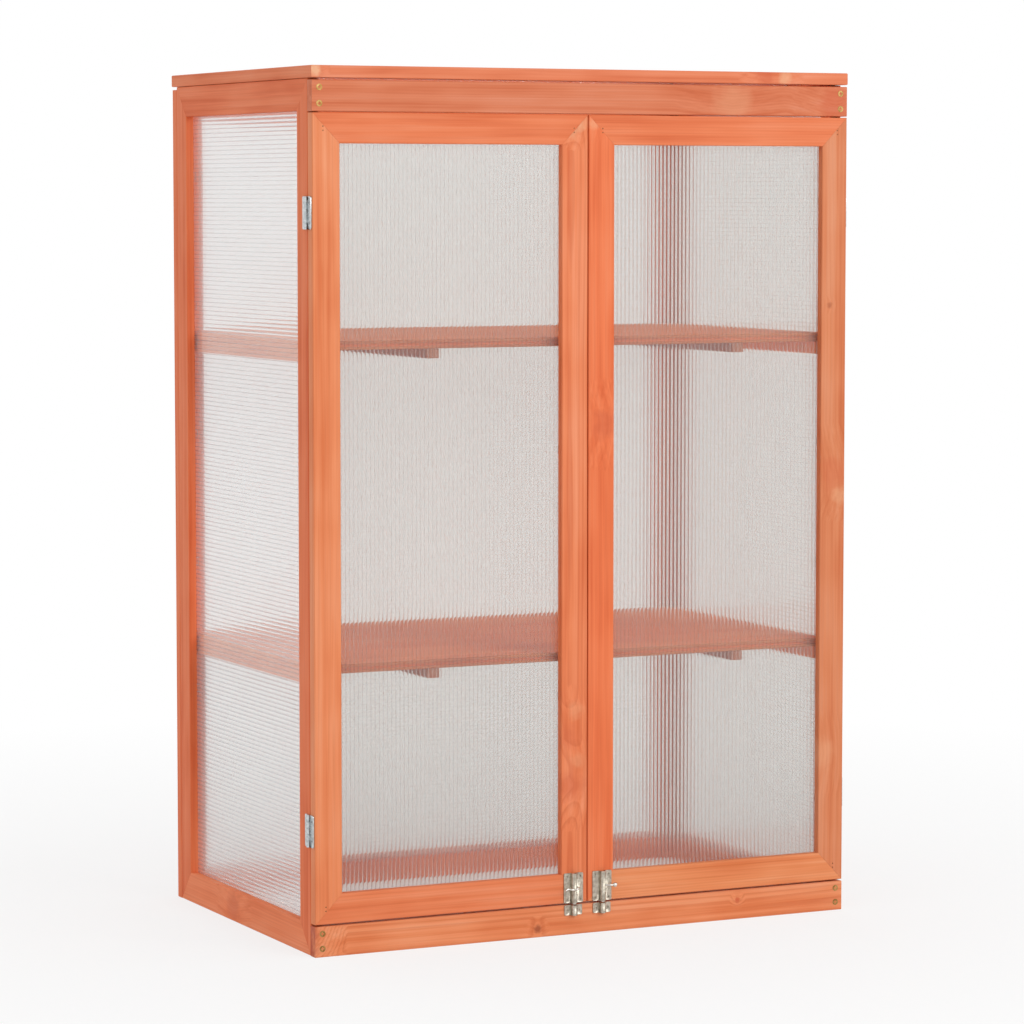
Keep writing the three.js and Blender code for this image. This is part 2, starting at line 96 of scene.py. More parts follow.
def add_node(tree, kind, inputs=None, out=0, stops=None, **settings):
    """Adds a shader node and returns one of its outputs. inputs fills its sockets, by name or number, with
    values or other nodes' outputs, settings are the node's own, and stops are a ramp's places and colours."""
    node = tree.nodes.new("ShaderNode" + kind)
    for name, value in settings.items():
        setattr(node, name, value)
    for name, value in (inputs or {}).items():
        if isinstance(value, bpy.types.NodeSocket):
            tree.links.new(value, node.inputs[name])
        else:
            node.inputs[name].default_value = value
    if stops:
        elements = node.color_ramp.elements
        while len(elements) < len(stops):
            elements.new(0.5)
        for element, (place, colour) in zip(elements, stops):
            element.position = place
            element.color = colour
    return node.outputs[out] if node.outputs else node


def new_material(name):
    material = bpy.data.materials.new(name)
    material.use_nodes = True
    material.node_tree.nodes.clear()
    return material, material.node_tree


# Stained fir: planed softwood under a thin orange water stain. The early wood drinks the stain, the late
# wood stays as finer lines, and the stain lies unevenly, so the eye sees soft streaks, flames and pale
# patches. Lengths are along the grain and across it.
RING_SPACING = 3.6 * MM
FIBRE = (150 * MM, 1.9 * MM)      # real fibres are finer than the picture shows
STREAK = (600 * MM, 9 * MM)
BLOTCH = (160 * MM, 55 * MM)
RING_PERIOD = 0.1 * math.pi       # metres after which a ring texture of scale 1 repeats
RING_STRETCH = 0.09               # how much slower the rings change along the grain than across it
RING_WANDER = 16.0                # how far the rings stray from true circles, and how slowly
RING_WANDER_SCALE = 0.16
FIGURE_STEP = (7.31, 3.77, 1.93)  # shifts the noise from one board to the next, so that no two look alike
HEART_STEP = 0.37                 # and the rings
GRAIN_TURN = {"X": (0, 0, 0), "Y": (0, 0, -QUARTER), "Z": (0, QUARTER, 0)}     # turn the grain's axis to X
# Strengths of the body colour's red, green and blue, from where the stain lies deep to where it is pale
STAIN_RAMP = ((0.36, (0.88, 0.70, 0.55)), (0.5, (1, 1, 1)), (0.66, (1.06, 1.30, 1.65)))
BLOTCH_SHARE = 0.42
# Shades over that: a ring's early wood, late wood and rim, and a fibre's pore and the wood beside it
RING_RAMP = ((0.45, WHITE), (0.9, (0.86, 0.74, 0.66, 1)), (1.0, (0.97, 0.95, 0.93, 1)))
PORE_RAMP = ((0.3, (0.90, 0.82, 0.76, 1)), (0.52, WHITE))
PORE_STRENGTH = 0.55
TONE_DEEP, TONE_PALE = 0.3, 0.7   # the tone where the stain lies deep, and where it is pale
DULL, SATIN = 0.66, 0.52          # and the roughness at each
RELIEF = 0.12 * MM
RELIEF_STRENGTH = 0.3
RELIEF_RINGS = 0.5                # share of the relief that the rings make, beside the fibres
FIR_IOR = 1.45
BULGE = 2.5                       # the grain bends around a mark out to this many times its size
RAGGED = 0.9                      # how ragged a mark's rim is, in shares of its size
RAGGED_SCALE = 1.6
MARK_CORE = 0.6                   # a mark is at full strength where its round gradient is above this
KNOT = "#8E3F22"
RED_HEART = "#CE5B33"
BARE = "#F2B98E"
# the front bottom rail's left end: end grain that drank more stain, with painted shade of its unlit side
SHADED_END_GRAIN = "#B4452C"
RIPPED_SHADE = (0.66, 0.66, 0.66, 1)        # of a shelf's ripped front edge, to this depth
RIPPED_DEPTH = 2.5 * MM


def stained_fir(name, along, middle, number, colour, heart, rings, marks, ripped_front):
    """along is the grain's axis, middle the board's centre, number makes its figure its own, colour is the
    body colour, heart the pith's place in mm from the board's middle, rings how strong the growth rings are,
    and marks are (place in mm, size in mm, colour, strength) of knots, bare patches and other spots, among
    them a rail end darkened by its end grain and by painted shade. In front of ripped_front, a Y in metres,
    the wood was ripped and drank more stain."""
    material, tree = new_material(name)
    place = add_node(tree, "TexCoord", out="Object")
    turn = Euler(GRAIN_TURN[along])
    board = add_node(tree, "Mapping", {
        "Vector": place, "Location": -(turn.to_matrix() @ middle), "Rotation": turn})
    for spot, size, _, strength in marks:
        reach, push = size * BULGE, size * strength * MM
        bulge = add_node(tree, "Mapping", {
            "Vector": place, "Location": [-s / reach for s in spot], "Scale": [1 / (reach * MM)] * 3})
        bulge = add_node(tree, "TexGradient", {"Vector": bulge}, out="Fac", gradient_type="SPHERICAL")
        board = add_node(tree, "VectorMath", {0: bulge, 1: [0, push, push], 2: board},
                         operation="MULTIPLY_ADD")

    def noise(size, detail, roughness=0.6):
        along_length, across = size
        stretched = add_node(tree, "Mapping", {
            "Vector": board, "Location": [number * step for step in FIGURE_STEP],
            "Scale": (1 / along_length, 1 / across, 1 / across)})
        return add_node(tree, "TexNoise", {"Vector": stretched, "Scale": 1.0, "Detail": detail,
                                           "Roughness": roughness}, out="Fac")

    streaks = noise(STREAK, detail=4.0)
    blotches = noise(BLOTCH, detail=2.0)
    fibres = noise(FIBRE, detail=2.0, roughness=0.5)
    from_heart = add_node(tree, "Mapping", {
        "Vector": board, "Location": (number * HEART_STEP, heart[0] * MM, heart[1] * MM),
        "Scale": (RING_STRETCH, 1, 1)})
    growth = add_node(tree, "TexWave", {
        "Vector": from_heart, "Scale": RING_PERIOD / RING_SPACING, "Distortion": RING_WANDER,
        "Detail": 2.0, "Detail Scale": RING_WANDER_SCALE}, out="Fac", wave_type="RINGS",
        rings_direction="X", wave_profile="SAW")
    tone = add_node(tree, "Mix", {0: BLOTCH_SHARE, 2: streaks, 3: blotches}, data_type="FLOAT")
    wood = add_node(tree, "ValToRGB", {"Fac": tone}, out="Color", stops=[
        (step, linear(colour, stain)) for step, stain in STAIN_RAMP])
    late = add_node(tree, "ValToRGB", {"Fac": growth}, out="Color", stops=RING_RAMP)
    pores = add_node(tree, "ValToRGB", {"Fac": fibres}, out="Color", stops=PORE_RAMP)
    for shade, strength in ((late, rings), (pores, PORE_STRENGTH)):
        wood = add_node(tree, "Mix", {0: strength, 6: wood, 7: shade}, out=2, data_type="RGBA",
                        blend_type="MULTIPLY")
    # Marks take their own colours; a rail end's mark is its end grain with painted shade.
    for spot, size, stain, strength in marks:
        near = add_node(tree, "Mapping", {
            "Vector": place, "Location": [-s / size for s in spot], "Scale": [1 / (size * MM)] * 3})
        ragged = add_node(tree, "TexNoise", {
            "Vector": board, "Scale": RAGGED_SCALE / (size * MM), "Detail": 2.0}, out="Color")
        near = add_node(tree, "VectorMath", {0: ragged, 1: [RAGGED] * 3, 2: near}, operation="MULTIPLY_ADD")
        near = add_node(tree, "VectorMath", {0: near, 1: [RAGGED / 2] * 3}, operation="SUBTRACT")
        near = add_node(tree, "TexGradient", {"Vector": near}, out="Fac", gradient_type="SPHERICAL")
        near = add_node(tree, "MapRange", {"Value": near, "From Max": MARK_CORE, "To Max": strength})
        wood = add_node(tree, "Mix", {0: near, 6: wood, 7: linear(stain)}, out=2, data_type="RGBA")
    if ripped_front is not None:
        depth = add_node(tree, "SeparateXYZ", {0: place}, out="Y")
        ripped = add_node(tree, "Math", {0: depth, 1: ripped_front}, operation="LESS_THAN")
        wood = add_node(tree, "Mix", {0: ripped, 6: wood, 7: RIPPED_SHADE}, out=2, data_type="RGBA",
                        blend_type="MULTIPLY")
    shine = add_node(tree, "MapRange", {
        "Value": tone, "From Min": TONE_DEEP, "From Max": TONE_PALE, "To Min": DULL, "To Max": SATIN})
    height = add_node(tree, "Mix", {0: RELIEF_RINGS, 2: fibres, 3: growth}, data_type="FLOAT")
    bump = add_node(tree, "Bump", {"Height": height, "Strength": RELIEF_STRENGTH, "Distance": RELIEF})
    surface = add_node(tree, "BsdfPrincipled", {
        "Base Color": wood, "Roughness": shine, "Normal": bump, "IOR": FIR_IOR})
    add_node(tree, "OutputMaterial", {"Surface": surface})
    return material


# Twin-wall polycarbonate: clear extruded sheet. The round corners of its channels bend what is behind them,
# so an edge seen through the sheet looks combed. The index is under the real 1.58, which keeps the lines at
# the ribs as faint as a real sheet's. The doors' and the lid's sheets comb the most, and the walls' show only
# soft lines. The tint and the milky veil are in the outer faces alone, so a view that crosses more ribs isn't
# darker.
LET_THROUGH = "#FEFEFE"           # what a lamp's light keeps of its colour through a face
NO_TINT = "#FFFFFF"


def twin_wall_polycarbonate(name, tint, index, clarity):
    material, tree = new_material(name)
    clear = add_node(tree, "BsdfPrincipled", {
        "Base Color": linear(tint), "Roughness": 0.0, "IOR": index, "Transmission Weight": clarity})
    shadow = add_node(tree, "LightPath", out="Is Shadow Ray")
    diffuse = add_node(tree, "LightPath", out="Is Diffuse Ray")
    indirect = add_node(tree, "Math", {0: shadow, 1: diffuse}, operation="MAXIMUM")
    through = add_node(tree, "BsdfTransparent", {"Color": linear(LET_THROUGH)})
    surface = add_node(tree, "MixShader", {0: indirect, 1: clear, 2: through})
    add_node(tree, "OutputMaterial", {"Surface": surface})
    return material


def sheet_finish(name, tint, index, clarity):
    """The finishes of a sheet's outer faces and of its channels. clarity is the share of light that an outer
    face doesn't scatter."""
    return [twin_wall_polycarbonate(f"{name}_outside", tint, index, clarity),
            twin_wall_polycarbonate(f"{name}_channels", NO_TINT, index, 1.0)]


# Zinc plate on pressed steel: satin metal with a faint cloudiness from the plating bath, in spots of about
# 4 mm.
CLOUDS_PER_METRE = 240.0
CLOUD_DARK, CLOUD_LIGHT = 0.35, 0.65        # the clouds' values at the dark and at the light colour
SHINE_SPREAD = 0.08


def zinc_plate(name, dark, light, rough):
    material, tree = new_material(name)
    place = add_node(tree, "TexCoord", out="Object")
    cloud = add_node(tree, "TexNoise", {"Vector": place, "Scale": CLOUDS_PER_METRE, "Detail": 3.0}, out="Fac")
    colour = add_node(tree, "ValToRGB", {"Fac": cloud}, out="Color", stops=[
        (CLOUD_DARK, linear(dark)), (CLOUD_LIGHT, linear(light))])
    shine = add_node(tree, "MapRange", {
        "Value": cloud, "To Min": rough - SHINE_SPREAD, "To Max": rough + SHINE_SPREAD})
    surface = add_node(tree, "BsdfPrincipled", {"Base Color": colour, "Roughness": shine, "Metallic": 1.0})
    add_node(tree, "OutputMaterial", {"Surface": surface})
    return material


DOOR_SHEET = sheet_finish("door_twin_wall_polycarbonate", "#E5E5E2", index=1.19, clarity=0.92)
CASE_SHEET = sheet_finish("case_twin_wall_polycarbonate", "#FAFBFB", index=1.15, clarity=0.82)
HINGE_FINISH = zinc_plate("bright_zinc_plated_hinge_steel", "#B4BABC", "#D6DADB", rough=0.26)
BOLT_FINISH = zinc_plate("dull_zinc_plated_bolt_steel", "#A59C8D", "#CDC5B6", rough=0.38)
ROD_FINISH = zinc_plate("polished_zinc_plated_rod_steel", "#C9C6BE", "#E6E3DC", rough=0.16)
SCREW_FINISH = zinc_plate("yellow_passivated_screw_steel", "#94733F", "#BF9C62", rough=0.36)
WIRE_FINISH = zinc_plate("galvanised_wire", "#9A9B98", "#C4C5C2", rough=0.4)
BRAD_FINISH = zinc_plate("stained_brad_heads", "#7A4C34", "#9C6242", rough=0.5)

# Body colours of the boards, and of those that took the stain in another way; the right side's rear stile
# has painted shade in its colour. Marks are knots, red heart, bare patches and a rail end's darker end grain
# with painted shade: place and size in mm, colour and strength.
DOOR_FIR = "#E97D4C"
SIDE_FIR = "#EE7B48"
RAIL_FIR = "#DE7C55"
SHELF_FIR = "#FA8643"
BATTEN_FIR = "#B6633F"            # end grain, which drinks the most
BOARD_COLOURS = {
    "left_door_hinge_stile": "#ED8C59",
    "left_door_meeting_stile": "#EC8453",
    "right_door_meeting_stile": "#EE7945",
    "right_door_hinge_stile": "#DC8456",
    "left_door_bottom_rail": "#EB8453",
    "right_door_bottom_rail": "#EB8F59",
    "front_top_rail": "#DB7C53",
    "front_bottom_rail": "#EE9260",
    "left_side_bottom_rail": "#F88D5A",
    # painted shade: this stile stands inside the case behind the sheets, so its colour is darker than the
    # wood's own
    "right_side_rear_stile": "#C66F4C",
    "lid_front_board": "#E78257",
}
BOARD_MARKS = {
    "left_door_meeting_stile": [
        ((-14, DOOR_FACE, 1025), 15, BARE, 0.5), ((-22, DOOR_FACE, 1010), 9, BARE, 0.35),
        ((-17, DOOR_FACE, 286), 14, BARE, 0.22), ((-26, DOOR_FACE, 252), 20, RED_HEART, 0.3),
        ((-14, DOOR_FACE, 222), 12, BARE, 0.2), ((-24, DOOR_FACE, 191), 24, RED_HEART, 0.45)],
    "right_door_meeting_stile": [
        ((8, DOOR_FACE, 1022), 10, BARE, 0.35), ((24, DOOR_FACE, 646), 24, RED_HEART, 0.5)],
    "right_door_hinge_stile": [
        ((350, DOOR_FACE, 792), 5, KNOT, 0.4), ((341, DOOR_FACE, 208), 24, BARE, 0.2),
        ((356, DOOR_FACE, 575), 26, RED_HEART, 0.3), ((366, DOOR_FACE, 545), 14, BARE, 0.3)],
    "front_bottom_rail": [
        ((-70, RAIL_FACE, 11), 7, KNOT, 0.7), ((218, RAIL_FACE, 25), 5, RED_HEART, 0.8),
        # its left end, darker with end grain and with painted shade
        ((-384, -219, 9), 22, SHADED_END_GRAIN, 0.8), ((-384, -219, 31), 22, SHADED_END_GRAIN, 0.8)],
    "front_top_rail": [
        ((206, RAIL_FACE, 1049), 34, BARE, 0.22), ((357, RAIL_FACE, 1051), 30, RED_HEART, 0.5)],
    "lid_front_board": [
        ((-370, RAIL_FACE, 1084), 9, BARE, 0.8), ((253, RAIL_FACE, 1085), 16, RED_HEART, 0.5),
        ((282, RAIL_FACE, 1083), 12, BARE, 0.5)],
    "left_side_bottom_rail": [((-374, 40, 20), 26, RED_HEART, 0.35)],
}
# The pith's place, in mm across the board from its middle
HEARTS = ((45, 22), (-60, 30), (20, -48), (75, -14), (-30, -38), (12, 30))
RINGS = 0.3                       # how strong the growth rings are in most boards
# Flat-sawn boards, whose rings come out as flames: how strong the rings are, and the pith's place
FLAMES = {"front_bottom_rail": (0.85, (34, 6)), "left_door_meeting_stile": (0.75, (30, -5))}


def colour_of(node):
    if "batten" in node:
        return BATTEN_FIR
    if "shelf" in node:
        return SHELF_FIR
    if node.startswith("front_"):
        return RAIL_FIR
    return DOOR_FIR if "_door_" in node or node.startswith("lid_") else SIDE_FIR


def is_board(node):
    return not (node.endswith("_sheet") or "_leaf" in node or "bolt" in node)


def paint_boards():
    for number, node in enumerate(sorted(filter(is_board, frame["nodes"]))):
        low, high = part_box(node)
        size = high - low
        along = "XYZ"[max(range(3), key=lambda i: size[i])]
        colour = BOARD_COLOURS.get(node, colour_of(node))
        rings, heart = FLAMES.get(node, (RINGS, HEARTS[number % len(HEARTS)]))
        ripped_front = low.y + RIPPED_DEPTH if node.endswith("_shelf") else None
        material = stained_fir(f"stained_fir_{node}", along, (low + high) / 2, number, colour, heart, rings,
                               BOARD_MARKS.get(node, ()), ripped_front)
        piece = frame["nodes"][node]
        piece.data.materials.clear()
        piece.data.materials.append(material)


paint_boards()


# Modelling
DOUBLED = 0.01 * MM               # points nearer than this are one
STRAIGHT = 0.99                   # share of an edge's length that has to lie along an axis
SHARP = math.radians(38)          # an edge that turns more than this is eased
ROUND_SIDE = math.radians(32)     # and one that turns less than this is smoothed
PAST = 4                          # how far a cutter passes what it cuts


def select_only(*pieces):
    bpy.ops.object.select_all(action="DESELECT")
    for piece in pieces:
        piece.select_set(True)
    bpy.context.view_layer.objects.active = pieces[-1]


def settle(name):
    """Names the new primitive and puts its place and size into its mesh."""
    piece = bpy.context.object
    piece.name = name
    bpy.ops.object.transform_apply(location=True, rotation=True, scale=True)
    return piece


def block(name, low, high):
    bpy.ops.object.select_all(action="DESELECT")
    low, high = Vector(low) * MM, Vector(high) * MM
    bpy.ops.mesh.primitive_cube_add(size=1, location=(low + high) / 2, scale=high - low)
    return settle(name)


def turned(name, foot, top, radius, top_radius=None, sides=32):
    """A round bar or cone between two points, in mm."""
    bpy.ops.object.select_all(action="DESELECT")
    foot, top = Vector(foot) * MM, Vector(top) * MM
    axis = top - foot
    top_radius = radius if top_radius is None else top_radius
    bpy.ops.mesh.primitive_cone_add(
        vertices=sides, radius1=radius * MM, radius2=top_radius * MM, depth=axis.length,
        location=(foot + top) / 2, rotation=axis.to_track_quat("Z", "Y").to_euler())
    return settle(name)


def ball(name, middle, radius, segments=24, rings=12):
    bpy.ops.object.select_all(action="DESELECT")
    bpy.ops.mesh.primitive_uv_sphere_add(
        segments=segments, ring_count=rings, radius=radius * MM, location=Vector(middle) * MM)
    return settle(name)


def shape(piece, wanted, work):
    """Selects the piece's wanted edges in edit mode and does the work on them."""
    select_only(piece)
    bpy.ops.object.mode_set(mode="EDIT")
    bpy.ops.mesh.select_mode(type="EDGE")
    bpy.ops.mesh.select_all(action="DESELECT")
    for edge in bmesh.from_edit_mesh(piece.data).edges:
        edge.select_set(wanted(edge))
    bmesh.update_edit_mesh(piece.data)
    work()
    bpy.ops.object.mode_set(mode="OBJECT")
    return piece


def sew():
    """Merges doubled points and turns every face outwards."""
    bpy.ops.mesh.remove_doubles(threshold=DOUBLED)
    bpy.ops.mesh.normals_make_consistent(inside=False)


def wire(name, points, radius, steps=8, roundness=4):
    """A bent round wire through points in mm, with a smooth bend at each."""
    bpy.ops.object.select_all(action="DESELECT")
    bpy.ops.curve.primitive_bezier_curve_add()
    piece = bpy.context.object
    spline = piece.data.splines[0]
    spline.bezier_points.add(len(points) - len(spline.bezier_points))
    for knot, point in zip(spline.bezier_points, points):
        knot.co = Vector(point) * MM
        knot.handle_left_type = knot.handle_right_type = "AUTO"
    piece.data.dimensions = "3D"
    piece.data.resolution_u = steps
    piece.data.bevel_depth = radius * MM
    piece.data.bevel_resolution = roundness
    piece.data.use_fill_caps = True
    bpy.ops.object.convert(target="MESH")
    return shape(settle(name), lambda edge: True, sew)


def runs_along(axis):
    """Edges that run along an axis."""
    def wanted(edge):
        run = edge.verts[1].co - edge.verts[0].co
        return abs(run[axis]) > STRAIGHT * run.length
    return wanted


def rounded(piece, wanted, radius, segments=4):
    return shape(piece, wanted,
                 lambda: bpy.ops.mesh.bevel(offset=radius * MM, segments=segments, affect="EDGES"))


def with_modifier(piece, kind, **settings):
    """Adds a modifier, sets it and applies it."""
    select_only(piece)
    bpy.ops.object.modifier_add(type=kind)
    modifier = piece.modifiers[-1]
    for name, value in settings.items():
        setattr(modifier, name, value)
    bpy.ops.object.modifier_apply(modifier=modifier.name)
    return piece


def combine(piece, tools, operation):
    """Joins the tools to the piece or cuts them out of it, and clears them away."""
    for tool in tools:
        with_modifier(piece, "BOOLEAN", operation=operation, object=tool, solver="MANIFOLD")
        bpy.data.objects.remove(tool)
    return piece


def smooth_rounds(piece):
    select_only(piece)
    bpy.ops.object.shade_smooth_by_angle(angle=ROUND_SIDE)
    return piece


def ease(piece, width=0.15, segments=2):
    """Breaks every sharp edge a little and smooths the round faces."""
    with_modifier(piece, "BEVEL", width=width * MM, segments=segments, limit_method="ANGLE",
                  angle_limit=SHARP)
    return smooth_rounds(piece)


def copied(pattern, name, place):
    """A copy with its own mesh, moved by a matrix in metres."""
    piece = pattern.copy()
    piece.name = name
    piece.data = pattern.data.copy()
    piece.data.transform(place)
    bpy.context.scene.collection.objects.link(piece)
    return piece


def joined(name, pieces):
    select_only(*pieces)
    bpy.ops.object.join()
    piece = bpy.context.object
    piece.name = name
    return piece


def fit(piece, body, finish, slot, *nodes):
    """Gives a finished piece its finish, its body and the CAD nodes it stands for."""
    piece.data.materials.clear()
    piece.data.materials.append(finish)
    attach(piece, body)
    if nodes:
        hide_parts(*nodes)


def placed(x, y, z, right=(1, 0, 0), back=(0, 1, 0)):
    """A matrix that puts a pattern's X along right and its Y along back, at a place in mm."""
    right, back = Vector(right), Vector(back)
    matrix = Matrix((right, back, right.cross(back))).transposed().to_4x4()
    matrix.translation = Vector((x, y, z)) * MM
    return matrix


# Twin-wall sheets, with every channel of the real ones
RIB_PITCH = 5.6
RIB = 0.2
SKIN = 0.4
ROUND, TIGHT = 0.5, 0.3           # radius of a channel's corners in the doors and the lid, and in the walls


def twin_wall_sheet(node, body, along, corner, finish):
    """along is the number of the axis that the channels run along, and corner their corners' radius. The
    three axes' numbers add up to 3."""
    low, high = box_mm(node)
    size = high - low
    thin = min(range(3), key=lambda i: size[i])
    across = 3 - along - thin
    count = int((size[across] - RIB) // RIB_PITCH)
    first = (low[across] + high[across] - count * RIB_PITCH + RIB) / 2
    slab = block(f"twin_wall_{node}", low, high)
    foot, top = low.copy(), high.copy()
    foot[thin], top[thin] = low[thin] + SKIN, high[thin] - SKIN
    foot[along], top[along] = low[along] - PAST, high[along] + PAST
    foot[across], top[across] = first, first + RIB_PITCH - RIB
    channel = rounded(block("channel", foot, top), runs_along(along), corner)
    step = [0, 0, 0]
    step[across] = RIB_PITCH * MM
    with_modifier(channel, "ARRAY", count=count, use_relative_offset=False, use_constant_offset=True,
                  constant_offset_displace=step)
    combine(slab, [channel], "DIFFERENCE")
    outside, channels = finish
    fit(smooth_rounds(slab), body, outside, "twin_wall_sheet", node)
    slab.data.materials.append(channels)
    for face in slab.data.polygons:
        depth = face.center[thin] / MM
        face.material_index = int(low[thin] + SKIN / 2 < depth < high[thin] - SKIN / 2)


# Each sheet's node, body, channel axis and corners, finish, and the way that its stapled inner face looks
SHEETS = (
    ("left_door_sheet", "left_door", 2, ROUND, DOOR_SHEET, (0, 1, 0)),
    ("right_door_sheet", "right_door", 2, ROUND, DOOR_SHEET, (0, 1, 0)),
    ("lid_sheet", "lid", 1, ROUND, DOOR_SHEET, (0, 0, -1)),
    ("left_side_sheet", "cabinet", 1, TIGHT, CASE_SHEET, (1, 0, 0)),
    ("right_side_sheet", "cabinet", 1, TIGHT, CASE_SHEET, (-1, 0, 0)),
    ("back_sheet", "cabinet", 0, TIGHT, CASE_SHEET, (0, -1, 0)),
)
for node, body, along, corner, finish, _ in SHEETS:
    twin_wall_sheet(node, body, along, corner, finish)


# Screws. The pattern's head looks along -Y, and its rim is just proud of the plane y = 0.
HEAD_DEPTH = 1.4
HEAD_PROUD = 0.25
HEAD_EASE = 0.08
SHANK_SHARE = 0.45                # the shank's radius, in shares of the head's
CROSS_DEPTH = 1.1
CROSS_REACH, CROSS_WIDTH = 0.56, 0.15   # half a slot's length and width, in shares of the head's radius
RAIL_SCREW_RADIUS, FITTING_SCREW_RADIUS = 4.0, 2.4


def screw_pattern(name, radius):
    head = turned(name, (0, HEAD_DEPTH, 0), (0, -HEAD_PROUD, 0), radius * SHANK_SHARE, radius)
    reach, width = radius * CROSS_REACH, radius * CROSS_WIDTH
    slots = [block("slot", (-x, -PAST, -z), (x, CROSS_DEPTH, z)) for x, z in ((reach, width), (width, reach))]
    combine(head, slots, "DIFFERENCE")
    return ease(head, HEAD_EASE, segments=1)


RAIL_SCREW = screw_pattern("rail_screw", RAIL_SCREW_RADIUS)
FITTING_SCREW = screw_pattern("fitting_screw", FITTING_SCREW_RADIUS)


def screws(name, body, pattern, finish, places):
    """One piece of copies of a pattern, each at one of the places, which are matrices."""
    fit(joined(name, [copied(pattern, name, place) for place in places]), body, finish, "zinc_plate")


RAIL_SCREW_FROM_END = 9.5
RAIL_SCREW_HEIGHTS = {"front_top_rail": (1044.1, 1063.6), "front_bottom_rail": (10.6, 29.2)}
for rail, heights in RAIL_SCREW_HEIGHTS.items():
    rail_low, rail_high = box_mm(rail)
    ends = rail_low.x + RAIL_SCREW_FROM_END, rail_high.x - RAIL_SCREW_FROM_END
    screws(f"{rail}_screws", "cabinet", RAIL_SCREW, SCREW_FINISH, [
        placed(x, rail_low.y, z) for x in ends for z in heights])


# Cleat screws, shelf nails, brads in the doors' mitres and staples in the sheets' edges
STAPLE_HALF = 5
STAPLE_THICK = 0.3                # half the flat wire's thickness
STAPLE_WIDE = 0.45                # and half its width
STAPLE_LEG = 8
STAPLE_SUNK = 0.1                 # how far a leg reaches into the crown
STAPLE_EASE = 0.1
STAPLE_FROM_EDGE = 4.5
STAPLE_PITCH = 160
CLEAT_SCREW_FROM_END = 36
SHELF_STRIP, SHELF_BOARD = 35, 85       # the ripped front board of a shelf, and a full one
SHELF_BOARDS = 5                        # boards behind the ripped one, the last of them narrower
NAIL_FROM_EDGE = 17.5
NAIL_COLUMNS = (-203, 228)              # over the battens
NAIL_DEPTH, NAIL_PROUD = 1, 0.15
NAIL_FOOT = 0.6                         # radius of the head's foot, in shares of its rim's
SHELF_NAIL_RADIUS, BRAD_RADIUS = 1.9, 0.9
BRAD_COLUMNS = (20, 360)
BRAD_HEIGHTS = (1016.5, 1011.5, 62, 57)


def staple_pattern():
    """Its crown runs along X, its legs go to +Y, and the stapled face is y = 0."""
    thick, wide = STAPLE_THICK, STAPLE_WIDE
    crown = block("crown", (-STAPLE_HALF, -2 * thick, -wide), (STAPLE_HALF, 0, wide))
    legs = [block("leg", (x - thick, -STAPLE_SUNK, -wide), (x + thick, STAPLE_LEG, wide))
            for x in (thick - STAPLE_HALF, STAPLE_HALF - thick)]
    return ease(combine(crown, legs, "UNION"), STAPLE_EASE)


def nail_pattern(name, radius):
    """A round head that looks along -Y, its rim just proud of y = 0."""
    head = turned(name, (0, NAIL_DEPTH, 0), (0, -NAIL_PROUD, 0), radius * NAIL_FOOT, radius, sides=20)
    return ease(head, HEAD_EASE, segments=1)


STAPLE = staple_pattern()
SHELF_NAIL = nail_pattern("shelf_nail", SHELF_NAIL_RADIUS)
BRAD = nail_pattern("brad", BRAD_RADIUS)


def staples(node, body, side):
    """side is the way that the stapled face looks."""
    low, high = box_mm(node)
    side = Vector(side)
    thin = max(range(3), key=lambda i: abs(side[i]))
    places = []
    for run in (i for i in range(3) if i != thin):
        other = 3 - thin - run
        count = round((high[run] - low[run]) / STAPLE_PITCH)
        right = Vector([axis == run for axis in range(3)])
        for edge in (low[other] + STAPLE_FROM_EDGE, high[other] - STAPLE_FROM_EDGE):
            for i in range(count):
                point = Vector()
                point[thin] = high[thin] if side[thin] > 0 else low[thin]
                point[other] = edge
                point[run] = low[run] + (high[run] - low[run]) * (i + 0.5) / count
                places.append(placed(*point, right=right, back=-side))
    screws(f"{node}_staples", body, STAPLE, WIRE_FINISH, places)


for node, body, *_, inward in SHEETS:
    staples(node, body, inward)


def cleat_screws(node):
    low, high = box_mm(node)
    sign = 1 if low.x < 0 else -1
    face = high.x if sign > 0 else low.x
    middle = (low + high) / 2
    screws(f"{node}_screws", "cabinet", FITTING_SCREW, SCREW_FINISH, [
        placed(face, y, middle.z, right=(0, sign, 0), back=(-sign, 0, 0))
        for y in (low.y + CLEAT_SCREW_FROM_END, middle.y, high.y - CLEAT_SCREW_FROM_END)])


def shelf_nails(node):
    """Over each batten, one nail in the narrow boards at the front and back and two in each full board."""
    low, high = box_mm(node)
    fronts = [low.y + SHELF_STRIP + SHELF_BOARD * i for i in range(SHELF_BOARDS)]
    rows = [low.y + NAIL_FROM_EDGE]
    rows += [y + d for y in fronts for d in (NAIL_FROM_EDGE, SHELF_BOARD - NAIL_FROM_EDGE) if y + d < high.y]
    screws(f"{node}_nails", "cabinet", SHELF_NAIL, WIRE_FINISH, [
        placed(x, y, high.z, back=(0, 0, -1)) for x in NAIL_COLUMNS for y in rows])


for node in sorted(frame["nodes"]):
    if "cleat" in node:
        cleat_screws(node)
    elif node.endswith("_shelf"):
        shelf_nails(node)

for side, sign in (("left", -1), ("right", 1)):
    screws(f"{side}_door_brads", f"{side}_door", BRAD, BRAD_FINISH, [
        placed(sign * x, DOOR_FACE, z) for x in BRAD_COLUMNS for z in BRAD_HEIGHTS])


